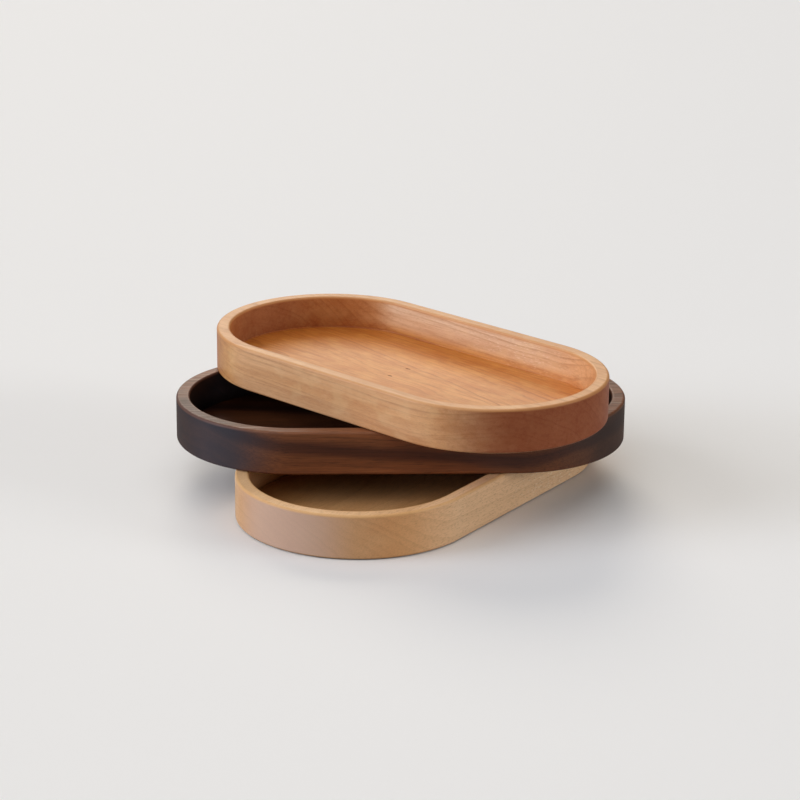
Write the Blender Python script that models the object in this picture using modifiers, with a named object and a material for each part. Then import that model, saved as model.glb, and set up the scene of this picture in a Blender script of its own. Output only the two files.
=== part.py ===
"""A stack of three loose oval trays of one size, in maple, walnut and cherry.

Each tray is milled out of one plank: an outline with straight sides and half-round ends, a flat-floored well
that follows the outline, a rim that is flat on top, and edges that are eased by hand. The trays stand rim to
base, each slid and turned a little on the one below.

Frame: metres, +Z up. The origin is the centre of the base tray's underside, and +X runs along the middle
tray. Run it with: blender --background --python part.py
"""

import math

import bmesh
import bpy

MM = 0.001

# One tray, outside
tray_length = 200.0 * MM
tray_width = 105.0 * MM
tray_height = 19.5 * MM

# The well that is milled into it
wall_thickness = 6.0 * MM
floor_thickness = 4.6 * MM
well_corner_radius = 0.6 * MM

# The edges that are eased
rim_outer_round = 1.2 * MM
rim_inner_round = 0.9 * MM
base_edge_round = 1.0 * MM

# How each loose tray lies on the one below it
resting_gap = 0.3 * MM
middle_slid_x = -7.9 * MM
middle_slid_y = 9.9 * MM
top_slid_x = 3.0 * MM
top_slid_y = 4.4 * MM

# How far each tray's length is turned away from +X
base_turn = math.radians(52.9)
middle_turn = math.radians(0.0)
top_turn = math.radians(-45.5)

# How finely the curves are cut into facets
steps_per_quarter_end = 20
steps_per_edge_round = 3
crease_angle = math.radians(40)
merge_distance = 0.01 * MM

# The oiled woods, as linear colours
wood_roughness = 0.42
maple_colour = (0.60, 0.40, 0.24)
walnut_colour = (0.075, 0.036, 0.022)
cherry_colour = (0.50, 0.235, 0.105)

quarter_turn = math.pi / 2


def clear_scene():
    for old in list(bpy.data.objects):
        bpy.data.objects.remove(old)


def oiled_wood(name, colour):
    """A wood with a satin oil finish."""
    material = bpy.data.materials.new(name)
    material.use_nodes = True
    shader = material.node_tree.nodes["Principled BSDF"]
    shader.inputs["Base Color"].default_value = (*colour, 1.0)
    shader.inputs["Roughness"].default_value = wood_roughness
    shader.inputs["Metallic"].default_value = 0.0
    material.diffuse_color = (*colour, 1.0)
    return material


def quarter_arc(across, height, radius, first_angle, last_angle):
    """Points along a rounded edge whose centre is at (across, height) in the section."""
    points = []
    for step in range(steps_per_edge_round + 1):
        angle = first_angle + (last_angle - first_angle) * step / steps_per_edge_round
        points.append((across + radius * math.cos(angle), height + radius * math.sin(angle)))
    return points


def tray_section():
    """The section that the whole tray is made of, as (distance from the middle line, height).

    It runs from the middle of the well floor out to the wall, up and over the rim, down the outside, and back
    under the base to the middle.
    """
    outside = tray_width / 2
    inside = outside - wall_thickness
    well_corner = quarter_arc(
        inside - well_corner_radius, floor_thickness + well_corner_radius, well_corner_radius,
        -quarter_turn, 0.0)
    rim_inner_edge = quarter_arc(
        inside + rim_inner_round, tray_height - rim_inner_round, rim_inner_round,
        quarter_turn * 2, quarter_turn)
    rim_outer_edge = quarter_arc(
        outside - rim_outer_round, tray_height - rim_outer_round, rim_outer_round,
        quarter_turn, 0.0)
    base_edge = quarter_arc(
        outside - base_edge_round, base_edge_round, base_edge_round,
        0.0, -quarter_turn)
    floor_middle = (0.0, floor_thickness)
    base_middle = (0.0, 0.0)
    return [floor_middle, *well_corner, *rim_inner_edge, *rim_outer_edge, *base_edge, base_middle]


def tray_mesh(name):
    """A quarter of a tray: the section is turned round half of one end, then drawn along to mid-length."""
    end_centre = (tray_length - tray_width) / 2
    shape = bmesh.new()
    corners = [shape.verts.new((end_centre + across, 0.0, height)) for across, height in tray_section()]
    edges = [shape.edges.new(pair) for pair in zip(corners, corners[1:])]
    turned = bmesh.ops.spin(
        shape, geom=corners + edges, cent=(end_centre, 0.0, 0.0), axis=(0.0, 0.0, 1.0),
        angle=quarter_turn, steps=steps_per_quarter_end)
    side_edges = [item for item in turned["geom_last"] if isinstance(item, bmesh.types.BMEdge)]
    drawn = bmesh.ops.extrude_edge_only(shape, edges=side_edges)
    middle_corners = [item for item in drawn["geom"] if isinstance(item, bmesh.types.BMVert)]
    bmesh.ops.translate(shape, verts=middle_corners, vec=(-end_centre, 0.0, 0.0))
    bmesh.ops.remove_doubles(shape, verts=shape.verts, dist=merge_distance)
    bmesh.ops.recalc_face_normals(shape, faces=shape.faces)
    mesh = bpy.data.meshes.new(name)
    shape.to_mesh(mesh)
    shape.free()
    mesh.shade_smooth()
    mesh.set_sharp_from_angle(angle=crease_angle)
    return mesh


def add_tray(name, wood, place, turn, collection):
    """One whole tray, with the middle of its underside at the given place."""
    mesh = tray_mesh(name)
    mesh.materials.append(wood)
    tray = bpy.data.objects.new(name, mesh)
    collection.objects.link(tray)
    mirror = tray.modifiers.new("both_ends_and_both_sides", "MIRROR")
    mirror.use_axis = (True, True, False)
    mirror.use_clip = True
    mirror.merge_threshold = merge_distance
    tray.location = place
    tray.rotation_euler = (0.0, 0.0, turn)
    return tray


def main():
    clear_scene()
    stack = bpy.data.collections.new("oval_tray_stack")
    bpy.context.scene.collection.children.link(stack)

    rise = tray_height + resting_gap
    middle_place = (middle_slid_x, middle_slid_y, rise)
    top_place = (middle_slid_x + top_slid_x, middle_slid_y + top_slid_y, rise * 2)

    add_tray("base_tray", oiled_wood("maple", maple_colour), (0.0, 0.0, 0.0), base_turn, stack)
    add_tray("middle_tray", oiled_wood("walnut", walnut_colour), middle_place, middle_turn, stack)
    add_tray("top_tray", oiled_wood("cherry", cherry_colour), top_place, top_turn, stack)


main()
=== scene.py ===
"""The looks of a stack of three loose oval trays: cherry on walnut on maple, each milled out of one plank."""

import math

import bmesh
import bpy
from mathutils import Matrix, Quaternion, Vector


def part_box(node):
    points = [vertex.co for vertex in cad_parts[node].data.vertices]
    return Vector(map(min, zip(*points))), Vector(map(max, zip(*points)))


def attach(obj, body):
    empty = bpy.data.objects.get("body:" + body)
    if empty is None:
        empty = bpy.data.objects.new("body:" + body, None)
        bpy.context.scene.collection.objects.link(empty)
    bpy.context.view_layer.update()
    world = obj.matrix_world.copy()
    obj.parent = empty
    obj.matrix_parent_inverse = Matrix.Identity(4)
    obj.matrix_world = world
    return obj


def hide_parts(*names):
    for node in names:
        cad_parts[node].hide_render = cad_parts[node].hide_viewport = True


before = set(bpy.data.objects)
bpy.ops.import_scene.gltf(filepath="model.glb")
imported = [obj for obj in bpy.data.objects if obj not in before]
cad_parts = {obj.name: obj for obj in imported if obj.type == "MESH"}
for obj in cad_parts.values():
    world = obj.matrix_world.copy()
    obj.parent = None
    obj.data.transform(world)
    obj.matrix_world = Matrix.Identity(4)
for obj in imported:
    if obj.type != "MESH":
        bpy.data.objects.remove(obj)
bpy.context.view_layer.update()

# The shape that all three trays share
# Each tray is one plank of hardwood, sawn to a shape with straight sides and half-round ends. A router then
# sinks a flat-floored well that follows the outside, and all the edges are eased by hand.

MM = 0.001
tray_low, tray_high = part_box("middle_tray")
tray_size = Vector(tray_high) - Vector(tray_low)
end_radius = tray_size.y / 2
end_centre = tray_size.x / 2 - end_radius
wall = 6.0 * MM
well_floor = 4.6 * MM
rim_outer_ease = 1.2 * MM
rim_inner_ease = 0.9 * MM
base_ease = 1.0 * MM
well_cove = 0.6 * MM
turns_in_outline = 256
cuts_in_ease = 6
round_profile = 0.5
smooth_up_to = math.radians(50)
hair = 0.02 * MM


def pick(tray, kind, fits):
    """In edit mode, selects the edges or faces whose corners all fit."""
    bpy.ops.mesh.select_all(action="DESELECT")
    bpy.ops.mesh.select_mode(type=kind)
    shape = bmesh.from_edit_mesh(tray.data)
    for item in shape.edges if kind == "EDGE" else shape.faces:
        if all(fits(corner.co) for corner in item.verts):
            item.select_set(True)
    bmesh.update_edit_mesh(tray.data)


def reach(point):
    """How far a point lies from the straight line between the two end centres."""
    return math.hypot(max(abs(point.x) - end_centre, 0), point.y)


def ease(tray, height, outline, radius):
    """Rounds over the edge that runs all round at one height and one reach."""
    pick(tray, "EDGE", lambda p: abs(p.z - height) < hair and abs(reach(p) - outline) < hair * 3)
    bpy.ops.mesh.bevel(
        offset=radius, offset_type="OFFSET", segments=cuts_in_ease, profile=round_profile, affect="EDGES")


def finish_with(piece, name, kind, **settings):
    """Adds a modifier and applies it."""
    modifier = piece.modifiers.new(name, kind)
    for setting, value in settings.items():
        setattr(modifier, setting, value)
    bpy.ops.object.modifier_apply(modifier=name)


def mill_tray():
    """A bare tray about the origin, with its length on X."""
    bpy.ops.object.select_all(action="DESELECT")
    bpy.ops.mesh.primitive_cylinder_add(
        vertices=turns_in_outline, radius=end_radius, depth=tray_size.z, location=(0, 0, tray_size.z / 2))
    tray = bpy.context.object
    bpy.ops.object.transform_apply(location=True, rotation=True, scale=True)
    bpy.ops.object.mode_set(mode="EDIT")
    bpy.ops.mesh.select_all(action="SELECT")
    bpy.ops.mesh.bisect(plane_co=(0, 0, 0), plane_no=(1, 0, 0), clear_inner=True)
    bpy.ops.mesh.select_all(action="SELECT")
    bpy.ops.transform.translate(value=(end_centre, 0, 0))
    pick(tray, "EDGE", lambda p: abs(p.x - end_centre) < hair)
    bpy.ops.mesh.extrude_region_move(TRANSFORM_OT_translate={"value": (-end_centre, 0, 0)})
    bpy.ops.object.mode_set(mode="OBJECT")
    finish_with(
        tray, "other_end", "MIRROR", use_axis=(True, False, False), use_clip=True, merge_threshold=hair)

    bpy.ops.object.mode_set(mode="EDIT")
    for seam in (-end_centre, 0, end_centre):
        for height in (0, tray_size.z):
            pick(tray, "EDGE", lambda p: abs(p.x - seam) < hair and abs(p.z - height) < hair)
            bpy.ops.mesh.dissolve_edges(use_verts=False)
    pick(tray, "FACE", lambda p: abs(p.z - tray_size.z) < hair)
    bpy.ops.mesh.inset(thickness=wall, depth=0)
    bpy.ops.mesh.extrude_region_move(TRANSFORM_OT_translate={"value": (0, 0, well_floor - tray_size.z)})
    ease(tray, tray_size.z, end_radius, rim_outer_ease)
    ease(tray, tray_size.z, end_radius - wall, rim_inner_ease)
    ease(tray, 0, end_radius, base_ease)
    ease(tray, well_floor, end_radius - wall, well_cove)
    bpy.ops.mesh.select_all(action="SELECT")
    bpy.ops.mesh.normals_make_consistent(inside=False)
    bpy.ops.object.mode_set(mode="OBJECT")
    bpy.ops.object.shade_smooth_by_angle(angle=smooth_up_to)
    finish_with(tray, "flat_flats", "WEIGHTED_NORMAL", weight=100, keep_sharp=True)
    return tray


bare_tray = mill_tray()

# The base tray: maple
# A pale, close-grained wood, sawn so that its rings slope across the ends and cross the floor as fine
# straight lines. Its rays show as short dashes, and one side is warmer than the other. It is oiled, and it
# stands on the table on its flat underside.

base_turn = math.radians(52.9)


def set_down(name, node, turn):
    """A copy of the bare tray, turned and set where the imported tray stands."""
    tray = bare_tray.copy()
    tray.data = bare_tray.data.copy()
    tray.name = tray.data.name = name
    bpy.context.collection.objects.link(tray)
    low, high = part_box(node)
    tray.location = ((low[0] + high[0]) / 2, (low[1] + high[1]) / 2, low[2])
    tray.rotation_euler = (0, 0, turn)
    place = tray.location.copy()
    bpy.ops.object.select_all(action="DESELECT")
    tray.select_set(True)
    bpy.context.view_layer.objects.active = tray
    bpy.ops.object.transform_apply(location=True, rotation=True, scale=True)
    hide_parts(node)
    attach(tray, node)
    return tray, place


base_tray, base_place = set_down("maple_tray", "base_tray", base_turn)


class Grain:
    """One value in a material's node tree. Sums and products of such values add their own Math nodes."""

    def __init__(self, socket):
        self.socket = socket

    def node(self, kind, settings, inputs, output=0):
        """Adds a node: its settings first, then the values or links of its sockets."""
        tree = self.socket.id_data
        made = tree.nodes.new(kind)
        for name, value in settings.items():
            setattr(made, name, value)
        for name, value in inputs.items():
            if isinstance(value, Grain):
                tree.links.new(value.socket, made.inputs[name])
            else:
                made.inputs[name].default_value = value
        return Grain(made.outputs[output])

    def math(self, operation, *others):
        return self.node("ShaderNodeMath", {"operation": operation}, dict(enumerate((self, *others))))

    def fade(self, start, end):
        """Rises smoothly from 0 at start to 1 at end. With start above end it falls from 1 at end to 0."""
        return self.node(
            "ShaderNodeMapRange", {"interpolation_type": "SMOOTHSTEP"},
            {"Value": self, "From Min": start, "From Max": end})

    def mix(self, first, second, blend="MIX"):
        """A colour that goes from first to second as this value goes from 0 to 1."""
        factor, one, other, result = 0, 6, 7, 2
        return self.node(
            "ShaderNodeMix", {"data_type": "RGBA", "blend_type": blend},
            {factor: self, one: first, other: second}, result)

    def __add__(self, other):
        return self.math("ADD", other)

    __radd__ = __add__

    def __mul__(self, other):
        return self.math("MULTIPLY", other)

    __rmul__ = __mul__

    def __sub__(self, other):
        return self.math("SUBTRACT", other)

    def __rsub__(self, other):
        return self.math("MULTIPLY_ADD", -1.0, other)

    def __truediv__(self, other):
        return self.math("DIVIDE", other)

    def __pow__(self, other):
        return self.math("POWER", other)

    def __abs__(self):
        return self.math("ABSOLUTE")


def tint(red, green, blue):
    """A colour as it is seen, 0 to 255, turned into the light that it sends back."""
    return (*(((c / 255 + 0.055) / 1.055) ** 2.4 for c in (red, green, blue)), 1.0)


class Plank:
    """The solid wood that a tray is milled from, in millimetres: x along the grain, y across it, z up."""

    oil_roughness = 0.32
    wood_gloss = 0.2
    soft_edge = 0.5

    def __init__(self, name, place, turn):
        self.material = bpy.data.materials.new(name)
        self.material.use_nodes = True
        tree = self.material.node_tree
        self.shader = tree.nodes["Principled BSDF"]
        coordinates = tree.nodes.new("ShaderNodeTexCoord")
        spot, facing = Grain(coordinates.outputs["Object"]), Grain(coordinates.outputs["Normal"])
        self.place = spot.node(
            "ShaderNodeMapping", {"vector_type": "TEXTURE"},
            {"Vector": spot, "Location": place, "Rotation": (0, 0, turn), "Scale": (MM, MM, MM)})
        self.along, self.across, self.up = (
            self.place.node("ShaderNodeSeparateXYZ", {}, {"Vector": self.place}, axis) for axis in "XYZ")
        self.end_grain = abs(facing.node(
            "ShaderNodeVectorMath", {"operation": "DOT_PRODUCT"},
            {0: facing, 1: (math.cos(turn), math.sin(turn), 0)}, "Value"))

    def drawn_out(self, length, width, seed):
        """The place in the plank, shrunk so that a pattern on it comes out this long and this wide."""
        return self.place.node(
            "ShaderNodeVectorMath", {"operation": "MULTIPLY_ADD"},
            {0: self.place, 1: (1 / length, 1 / width, 1 / width), 2: (seed, seed, seed)})

    def streaks(self, length, width, seed, detail=2.0, roughness=0.5, curl=0.0):
        """Soft noise about 0.5, drawn out into streaks of this length along the grain and this width."""
        vector = self.drawn_out(length, width, seed)
        return vector.node(
            "ShaderNodeTexNoise", {},
            {"Vector": vector, "Scale": 1.0, "Detail": detail, "Roughness": roughness, "Distortion": curl},
            "Fac")

    def slits(self, length, width, size, seed):
        """Vessels cut open: thin lines along the grain, and dots where the grain ends."""
        vector = self.drawn_out(length, width, seed)
        distance = vector.node("ShaderNodeTexVoronoi", {}, {"Vector": vector, "Scale": 1.0}, "Distance")
        return distance.fade(size, size * self.soft_edge)

    def grow(self, pith_across, pith_below, spacing, swing, rise, wander):
        """Lays growth rings round a pith under the tray that swings sideways and rises along the plank."""
        side, middle = 50.0, 15.0
        inward = abs(self.across).fade(side, middle)
        wandering = wander * (inward * 0.6 + 0.4)
        sway = (self.streaks(length=90.0, width=60.0, seed=21.0) - 0.5) * wandering
        heave = (self.streaks(length=70.0, width=45.0, seed=7.0) - 0.5) * wandering
        drift = self.along * swing * inward
        sideways = self.across - pith_across + drift + sway
        depth = self.up + pith_below + self.along * rise + heave
        self.radius = (sideways * sideways + depth * depth) ** 0.5
        self.bearing = sideways.math("ARCTAN2", depth) * pith_below
        changes_per_mm, rings_out = 0.13, 2.0
        good_years = self.radius.node(
            "ShaderNodeTexNoise", {"noise_dimensions": "1D"},
            {"W": self.radius * changes_per_mm, "Scale": 1.0, "Detail": 1.0})
        ripple = self.streaks(length=16.0, width=5.0, seed=43.0, detail=1.0)
        count = self.radius / spacing + good_years * rings_out + ripple * (inward * 0.5 + 0.2)
        self.ring = count.math("FRACT")
        year = count.math("FLOOR")
        self.vintage = year.node("ShaderNodeTexWhiteNoise", {"noise_dimensions": "1D"}, {"W": year}, "Value")

    def rays(self, length, thickness, height, size, seed):
        """Rays, thin sheets across the rings: flecks on quartered faces, dashes on flat-sawn ones."""
        vector = self.along.node(
            "ShaderNodeCombineXYZ", {},
            {"X": self.along / length + seed, "Y": self.bearing / thickness, "Z": self.radius / height})
        distance = vector.node("ShaderNodeTexVoronoi", {}, {"Vector": vector, "Scale": 1.0}, "Distance")
        return distance.fade(size, size * self.soft_edge)

    def speck(self, along, across, size):
        """A small dark streak of this length, broken up by the fibres."""
        slimness, raggedness, core = 3.0, 3.0, 0.4
        frayed = (self.streaks(length=1.6, width=0.5, seed=along) - 0.5) * raggedness
        aside = (self.across - across) * slimness + frayed
        ahead = self.along - along
        return ((ahead * ahead + aside * aside) ** 0.5).fade(size, size * core)

    def wear(self):
        """Finds the edges that hands rub, and where painted shade goes: the wall's foot, low in the well
        (deep, also used for the floor's figure) and the well's corners.
        """
        rub_from, rub_full = 1.5, 0.7
        shade_from, shade_full = 1.3, 0.1
        skin_in, skin_out = 0.1, 0.5
        shade_height = 6.0
        well_middle, corner_start, well_side = 10.0, 28.0, 46.0
        outside, inside = end_radius / MM, (end_radius - wall) / MM
        rim, floor = tray_size.z / MM, well_floor / MM
        past_centre = (abs(self.along) - end_centre / MM).math("MAXIMUM", 0.0)
        spread = (past_centre * past_centre + self.across * self.across) ** 0.5
        from_outside, from_inside = abs(spread - outside), abs(spread - inside)
        from_edge = from_outside.math("MINIMUM", from_inside)
        self.worn_edge = from_edge.math("MAXIMUM", abs(self.up - rim)).fade(rub_from, rub_full)
        # foot, deep and corner are masks for painted shade: at the wall's foot, low in the well and in its
        # corners.
        self.foot = from_inside.math("MAXIMUM", abs(self.up - floor)).fade(shade_from, shade_full)
        self.in_well = spread.fade(inside + skin_out, inside - skin_in)
        low_down = self.in_well * self.up.fade(floor + shade_height, floor)
        self.deep = low_down * (spread.fade(well_middle, well_side) * 0.4 + 0.6)
        self.corner = low_down * spread.fade(corner_start, well_side)

    def lay(self, amount, shade, blend="MIX"):
        """Brings the colour so far this much nearer to another shade."""
        self.colour = amount.mix(self.colour, shade, blend)

    def darken(self, amount, shade):
        """Darkens the colour so far with a shade: used for the wood's own darker tones and for painted shade.
        """
        self.lay(amount, shade, "MULTIPLY")

    def polish(self, tray, roughness, oil, height, depth):
        """Feeds the shader, with a film of oil and a bump of this depth, and clads the tray."""
        links = self.material.node_tree.links
        bump = height.node("ShaderNodeBump", {}, {"Height": height, "Distance": depth, "Strength": 1.0})
        links.new(self.colour.socket, self.shader.inputs["Base Color"])
        links.new(roughness.socket, self.shader.inputs["Roughness"])
        links.new(bump.socket, self.shader.inputs["Normal"])
        links.new(oil.socket, self.shader.inputs["Coat Weight"])
        self.shader.inputs["Coat Roughness"].default_value = self.oil_roughness
        self.shader.inputs["Specular IOR Level"].default_value = self.wood_gloss
        tray.data.materials.clear()
        tray.data.materials.append(self.material)


maple = Plank("oiled_maple", base_place, base_turn)
maple.grow(pith_across=25.0, pith_below=50.0, spacing=3.0, swing=0.05, rise=0.03, wander=9.0)
maple.wear()
long_grain = 1 - maple.end_grain
late_wood = maple.ring.fade(0.35, 0.97) * maple.ring.fade(1.0, 0.97)
fibres = maple.streaks(length=16.0, width=0.5, seed=11.0, detail=3.0, roughness=0.6)
vessels = maple.slits(length=2.6, width=0.34, size=0.34, seed=5.0)
dashes = maple.rays(length=2.4, thickness=0.34, height=3.0, size=0.4, seed=3.0) * long_grain
clouds = maple.streaks(length=70.0, width=9.0, seed=3.0, detail=3.0)
sapwood = (maple.across * -1.0 + maple.streaks(length=60.0, width=8.0, seed=71.0) * 6.0).fade(46.0, 54.0)
heartwood = (maple.across * -1.0 + maple.streaks(length=50.0, width=20.0, seed=91.0) * 10.0).fade(32.0, 50.0)
flecks = maple.rays(length=2.4, thickness=0.3, height=4.0, size=0.45, seed=9.0)
flecks = flecks * maple.streaks(length=3.0, width=1.2, seed=77.0, detail=3.0).fade(0.42, 0.6)
flecks = flecks * maple.along.fade(-20.0, 30.0) * long_grain * (1 - maple.in_well * 0.7)

maple.colour = clouds.mix(tint(242, 202, 154), tint(228, 178, 127))
maple.lay(sapwood * long_grain, tint(248, 208, 164))
maple.lay(late_wood * (maple.vintage * 0.2 + 0.05), tint(186, 138, 92))
maple.lay(fibres.fade(0.4, 0.75) * 0.35, tint(198, 152, 106))
maple.lay(vessels * 0.18, tint(160, 112, 74))
maple.lay(dashes * 0.25, tint(162, 112, 76))
maple.darken(maple.end_grain ** 3 * 0.7, tint(224, 184, 158))
# Painted sheen: the tips of the end grain are turned a pale pinkish grey, as a reflection would show.
maple.lay(maple.end_grain.fade(0.8, 1.0) * 0.55, tint(212, 188, 174))
maple.darken(heartwood * (maple.end_grain * 0.7 + 0.15), tint(255, 222, 184))
maple.lay(flecks * 0.85, tint(255, 226, 196))
# Painted shade: darker low in the well and in its corners.
maple.darken(maple.deep, tint(226, 200, 160))
maple.darken(maple.corner * 0.5, tint(215, 205, 200))
maple.lay(maple.worn_edge * 0.55, tint(220, 168, 108))
# Painted shade along the foot of the well's wall.
maple.darken(maple.foot * 0.5, tint(150, 118, 96))
maple.polish(
    base_tray,
    roughness=0.42 + fibres * 0.1 + maple.end_grain ** 3 * 0.1 - maple.worn_edge * 0.06,
    oil=0.16 - maple.end_grain ** 2 * 0.1,
    height=0.7 - vessels * 0.5 + fibres * 0.3 - dashes * 0.1,
    depth=0.03 * MM)

# The middle tray: walnut
# A dark, open-pored wood. Its rings show as broad soft bands of chocolate and red-brown, one of them much
# darker, and its pores as short dark lines. The end grain drinks more oil and is nearly black. The tray is
# loose and rests on the maple tray's rim.

middle_turn = 0.0
middle_tray, middle_place = set_down("walnut_tray", "middle_tray", middle_turn)

walnut = Plank("oiled_walnut", middle_place, middle_turn)
walnut.grow(pith_across=-22.0, pith_below=46.0, spacing=5.0, swing=0.03, rise=0.05, wander=18.0)
walnut.wear()
late_wood = walnut.ring.fade(0.2, 0.92) * walnut.ring.fade(1.0, 0.92)
fibres = walnut.streaks(length=18.0, width=0.45, seed=17.0, detail=3.0, roughness=0.6)
pores = walnut.slits(length=16.0, width=0.7, size=0.19, seed=29.0)
fine_pores = walnut.slits(length=8.0, width=0.45, size=0.22, seed=53.0)
dark_ring_radius = 65.0
dark_ring = walnut.radius - dark_ring_radius + walnut.streaks(length=90.0, width=12.0, seed=13.0) * 3.0
dark_ring = abs(dark_ring).fade(5.5, 1.0)
broad_bands = walnut.streaks(length=120.0, width=10.0, seed=67.0, detail=3.0).fade(0.3, 0.7) * 0.5
other_end = walnut.along.fade(-60.0, 60.0)
rim_lines = walnut.streaks(length=40.0, width=1.3, seed=35.0, detail=3.0, roughness=0.7)
on_rim = walnut.up.fade(19.2, 19.45) * abs(walnut.along).fade(30.0, 70.0)

walnut.colour = dark_ring.math("MAXIMUM", broad_bands).mix(tint(153, 94, 57), tint(88, 50, 34))
walnut.lay(late_wood * (walnut.vintage * 0.35 + 0.1), tint(58, 33, 24))
walnut.lay(fibres.fade(0.35, 0.7) * 0.4, tint(48, 29, 22))
walnut.lay((pores * 0.65).math("MAXIMUM", fine_pores * 0.4), tint(28, 17, 13))
# The end grain is nearly black; on the left end it is also painted a bluish grey, a painted sheen.
dark_end_and_sheen = walnut.end_grain.fade(0.7, 0.98).mix(tint(47, 47, 55), tint(34, 31, 34))
dark_end_and_sheen = other_end.mix(dark_end_and_sheen, tint(40, 23, 17))
walnut.lay((walnut.end_grain - other_end * 0.25).fade(0.05, 0.55) * 0.88, dark_end_and_sheen)
# Painted shade: the well is darkened low down.
walnut.darken(walnut.deep, tint(116, 100, 90))
walnut.lay(walnut.worn_edge * 0.3, tint(150, 98, 70))
# Grain lines across the rim's ends; the pale grey ones are partly painted sheen.
walnut.lay(rim_lines.fade(0.45, 0.7) * on_rim * 0.55, tint(156, 138, 128))
walnut.lay(rim_lines.fade(0.5, 0.3) * on_rim * 0.5, tint(56, 40, 34))
# Painted shade along the foot of the well's wall.
walnut.darken(walnut.foot * 0.5, tint(150, 130, 120))
walnut.polish(
    middle_tray,
    roughness=0.44 + fibres * 0.1 + walnut.end_grain ** 2 * 0.26 - walnut.worn_edge * 0.06,
    oil=0.1 - walnut.end_grain ** 2 * 0.08,
    height=0.8 - pores * 0.6 - fine_pores * 0.2 + fibres * 0.2,
    depth=0.05 * MM)

# The top tray: cherry
# A warm, fine-grained wood, flat sawn, so that its floor shows long slanting ring lines over a rippled
# figure, with two small streaks of dark gum. Its far side is pale sapwood, made paler with painted sheen and
# lighter towards its top with painted light. It is rubbed with oil to a satin sheen, and rests loose on the
# walnut tray's rim.

top_turn = math.radians(-45.5)
top_tray, top_place = set_down("cherry_tray", "top_tray", top_turn)

cherry = Plank("oiled_cherry", top_place, top_turn)
cherry.grow(pith_across=-30.0, pith_below=46.0, spacing=2.7, swing=0.14, rise=0.03, wander=9.0)
cherry.wear()
long_grain = 1 - cherry.end_grain
outside = 1 - cherry.in_well
fibres = cherry.streaks(length=16.0, width=0.5, seed=37.0, detail=3.0, roughness=0.6)
vessels = cherry.slits(length=3.2, width=0.36, size=0.33, seed=41.0)
bands = cherry.streaks(length=45.0, width=1.9, seed=51.0)
clouds = cherry.streaks(length=60.0, width=10.0, seed=31.0, detail=3.0).fade(0.3, 0.7)
mottle = cherry.streaks(length=9.0, width=7.0, seed=83.0, detail=2.0)
ripple = cherry.streaks(length=15.0, width=2.0, seed=97.0, detail=1.0, curl=1.2)
ripple_strength = cherry.deep * 0.2 + 0.08
gum = cherry.speck(along=-10.0, across=11.0, size=1.9)
gum = gum.math("MAXIMUM", cherry.speck(along=-9.0, across=-2.0, size=1.9))
sapwood = (cherry.across + cherry.streaks(length=60.0, width=8.0, seed=61.0) * 6.0).fade(42.0, 50.0)
sapwood = sapwood * cherry.up.fade(19.3, 17.5) * (cherry.along.fade(65.0, 30.0) * 0.8 + 0.2)
late_wood = cherry.ring.fade(0.3, 0.95)
ring_lines = cherry.ring.fade(0.6, 0.94) * cherry.ring.fade(1.0, 0.92) * (cherry.vintage * 0.4 + 0.02)
ring_lines = ring_lines * (1 - sapwood * 0.3) * (1 - cherry.end_grain * 0.5)
ring_lines = ring_lines * (cherry.in_well * cherry.along.fade(-20.0, 20.0) * 0.3 + 1.0)
# Ray flecks on the far wall, painted pale partly as glints: painted highlights as well as figure.
flecks = cherry.rays(length=2.4, thickness=0.17, height=4.0, size=0.45, seed=9.0)
flecks = flecks * cherry.streaks(length=3.0, width=1.2, seed=77.0, detail=3.0).fade(0.42, 0.6)
flecks = flecks * (sapwood * cherry.along.fade(-20.0, 20.0) * 0.42 + 0.08)

cherry.colour = clouds.mix(tint(231, 177, 125), tint(217, 157, 104))
# Pale sapwood on the far wall, its paleness partly painted sheen, lighter towards the top with painted light.
cherry.lay(sapwood * (cherry.up.fade(11.0, 18.0) * 0.4 + 0.5), tint(238, 208, 176))
cherry.lay(late_wood * (cherry.vintage * 0.2 + 0.05), tint(190, 126, 80))
cherry.lay(bands.fade(0.45, 0.75) * 0.4, tint(190, 128, 80))
cherry.lay(ring_lines, tint(158, 90, 38))
cherry.lay(fibres.fade(0.4, 0.75) * 0.35, tint(194, 134, 88))
cherry.lay(ripple.fade(0.5, 0.75) * ripple_strength, tint(180, 122, 80))
cherry.lay(ripple.fade(0.5, 0.28) * ripple_strength, tint(250, 216, 172))
cherry.lay(vessels * 0.22, tint(150, 88, 44))
# Pale ray flecks, partly painted glints.
cherry.lay(flecks, tint(250, 220, 190))
cherry.lay(mottle.fade(0.45, 0.7) * 0.2, tint(246, 208, 154))
cherry.lay(gum * 0.85, tint(112, 48, 4))

left_of_well = cherry.in_well * cherry.along.fade(50.0, 0.0)
cherry.darken(cherry.end_grain.fade(0.15, 0.85) * 0.85 * outside, tint(157, 87, 57))
# End grain inside the well soaks up oil and darkens; on the left end wall this is mostly painted shade.
soaked_and_shaded = cherry.end_grain.fade(0.05, 0.35) * (left_of_well * 0.66 + cherry.in_well * 0.06)
cherry.darken(soaked_and_shaded, tint(199, 147, 72))
# Painted shade, cool-tinted, on the middle of the well's left end wall.
cherry.darken(cherry.end_grain.fade(0.7, 1.0) * 0.6 * left_of_well, tint(192, 170, 186))
# Painted shade and painted orange bounce light low in the well.
deep = cherry.deep * (1 - cherry.end_grain * 0.8) * (0.9 - cherry.along.fade(-10.0, 60.0) * 0.22)
cherry.darken(deep, tint(249, 202, 106))
# Painted shade in the well's corners, strongest at the left.
corner = cherry.corner * long_grain * (cherry.along.fade(50.0, -40.0) * 0.85 + 0.15)
cherry.darken(corner * 0.55, tint(205, 190, 180))
# Painted shadow of the left end wall on the floor's left end.
left_wall_shadow = cherry.along.fade(-35.0, -60.0) * cherry.across.fade(-5.0, 12.0) * cherry.across.fade(34.0, 20.0)
cherry.darken(left_wall_shadow * cherry.deep * 0.45, tint(236, 214, 186))
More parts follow.
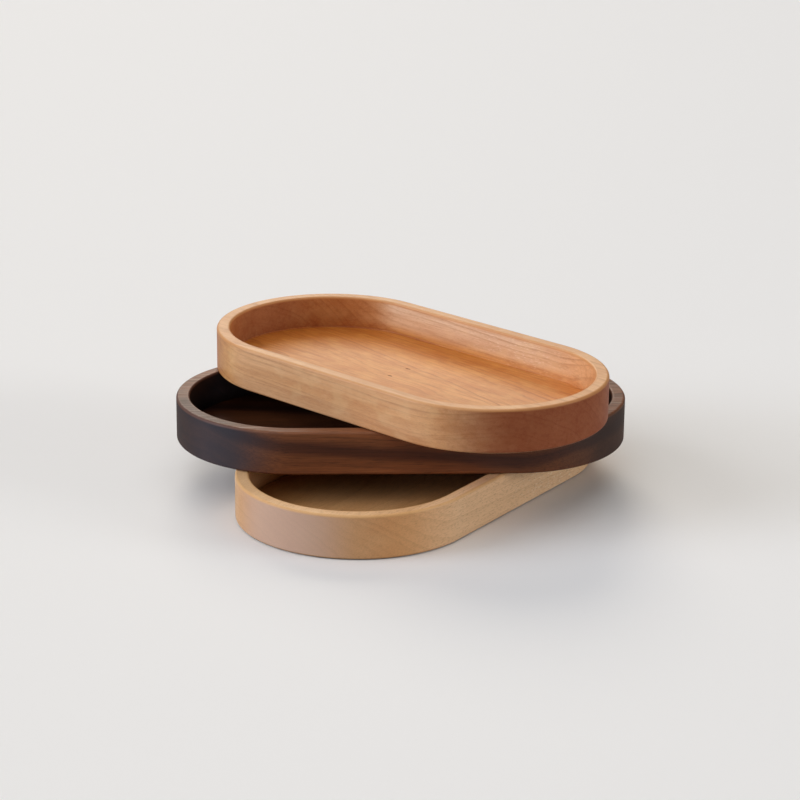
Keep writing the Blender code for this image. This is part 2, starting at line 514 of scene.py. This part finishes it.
# Painted shade low on the outer front wall and painted light near its top.
front = outside * long_grain * cherry.across.fade(-50.0, -52.0)
cherry.darken(front * cherry.up.fade(12.0, 4.0) * 0.5, tint(232, 230, 238))
cherry.lay(front * cherry.up.fade(8.0, 16.0) * 0.12, tint(246, 208, 168))
# A painted golden highlight at the top of the outer left end.
golden_end_highlight = outside * cherry.along.fade(-50.0, -70.0) * cherry.up.fade(19.3, 18.0)
cherry.darken(golden_end_highlight, tint(255, 252, 228))
# Painted sheen: the rim's top is made paler.
cherry.lay(cherry.up.fade(18.6, 19.4) * 0.15, tint(240, 200, 164))
cherry.lay(cherry.worn_edge * 0.6, tint(208, 146, 88))
# Painted shade along the foot of the well's wall, darkest on the far side.
cherry.darken(cherry.foot * (cherry.across.fade(20.0, 44.0) * 0.25 + 0.1), tint(190, 124, 60))
cherry.polish(
    top_tray,
    roughness=0.42 + fibres * 0.1 + cherry.end_grain ** 3 * 0.25 - cherry.worn_edge * 0.06 + gum * 0.4,
    oil=(0.12 - cherry.end_grain ** 2 * 0.06) * (1 - gum),
    height=0.4 - vessels * 0.4 + fibres * 0.2 + ripple * cherry.deep * 0.6,
    depth=0.03 * MM)

bpy.data.objects.remove(bare_tray)

# The table, the lamps and the camera
# A plain pale table under plain soft light: a warm lamp behind, cooler ones to the left, weaker ones in front
# and overhead, a low one to the right, and an even sky. The camera stands where the photograph was taken.

table_width = 60
table_clearance = 0.3 * MM
table_roughness = 0.7
table_under_lamps = (0.22, 0.21, 0.2, 1)
table_in_view = (0.9, 0.89, 0.88, 1)

bpy.ops.object.select_all(action="DESELECT")
bpy.ops.mesh.primitive_plane_add(size=table_width, location=(0, 0, -table_clearance))
table = bpy.context.object
table.name = "table"
table_paint = bpy.data.materials.new("pale_table")
table_paint.use_nodes = True
paint_shader = table_paint.node_tree.nodes["Principled BSDF"]
paint_shader.inputs["Roughness"].default_value = table_roughness
light_path = table_paint.node_tree.nodes.new("ShaderNodeLightPath")
in_view, in_gloss, in_glass = (
    Grain(light_path.outputs[kind]) for kind in ("Is Camera Ray", "Is Glossy Ray", "Is Transmission Ray"))
paint = (in_view + in_gloss + in_glass).mix(table_under_lamps, table_in_view)
table_paint.node_tree.links.new(paint.socket, paint_shader.inputs["Base Color"])
table.data.materials.append(table_paint)


def hang_lamp(name, direction, spread, power, colour=(1, 1, 1)):
    """A broad soft lamp, far away in this direction."""
    light = bpy.data.lights.new(name, "SUN")
    light.angle = math.radians(spread)
    light.energy = power
    light.color = colour
    lamp = bpy.data.objects.new(name, light)
    lamp.location = direction
    lamp.rotation_euler = (-Vector(direction)).to_track_quat("-Z", "Y").to_euler()
    bpy.context.collection.objects.link(lamp)


hang_lamp("ceiling_lamp", direction=(0.0, 0.0, 1.0), spread=60, power=0.6)
hang_lamp("back_lamp", direction=(-0.1, 0.84, 0.53), spread=30, power=1.05, colour=(1.0, 0.91, 0.78))
hang_lamp("front_lamp", direction=(-0.35, -0.65, 0.65), spread=50, power=0.75)
hang_lamp("left_lamp", direction=(-0.88, -0.1, 0.44), spread=40, power=0.95, colour=(0.96, 1.0, 1.08))
hang_lamp("left_window", direction=(-0.97, -0.12, 0.2), spread=25, power=0.95, colour=(0.86, 0.96, 1.16))
hang_lamp("right_window", direction=(0.95, -0.25, 0.2), spread=25, power=1.1)

sky_strength = 0.08
sky = bpy.data.worlds.new("even_sky")
sky.use_nodes = True
sky.node_tree.nodes["Background"].inputs["Color"].default_value = (1, 1, 1, 1)
sky.node_tree.nodes["Background"].inputs["Strength"].default_value = sky_strength
bpy.context.scene.world = sky

camera_place = Vector((-56.1, -1067.8, 400.2)) * MM
camera_aim = Vector((-8.3, 11.2, 35.4)) * MM
camera_roll = math.radians(0.585)
lens_length = 114.8
film_width = 36.0
lens = bpy.data.cameras.new("camera")
lens.lens = lens_length
lens.sensor_width = film_width
camera = bpy.data.objects.new("camera", lens)
camera.location = camera_place
camera.rotation_mode = "QUATERNION"
level_view = (camera_aim - camera_place).to_track_quat("-Z", "Y")
camera.rotation_quaternion = level_view @ Quaternion((0, 0, 1), camera_roll)
bpy.context.collection.objects.link(camera)
bpy.context.scene.camera = camera
bpy.context.scene.view_settings.view_transform = "Standard"
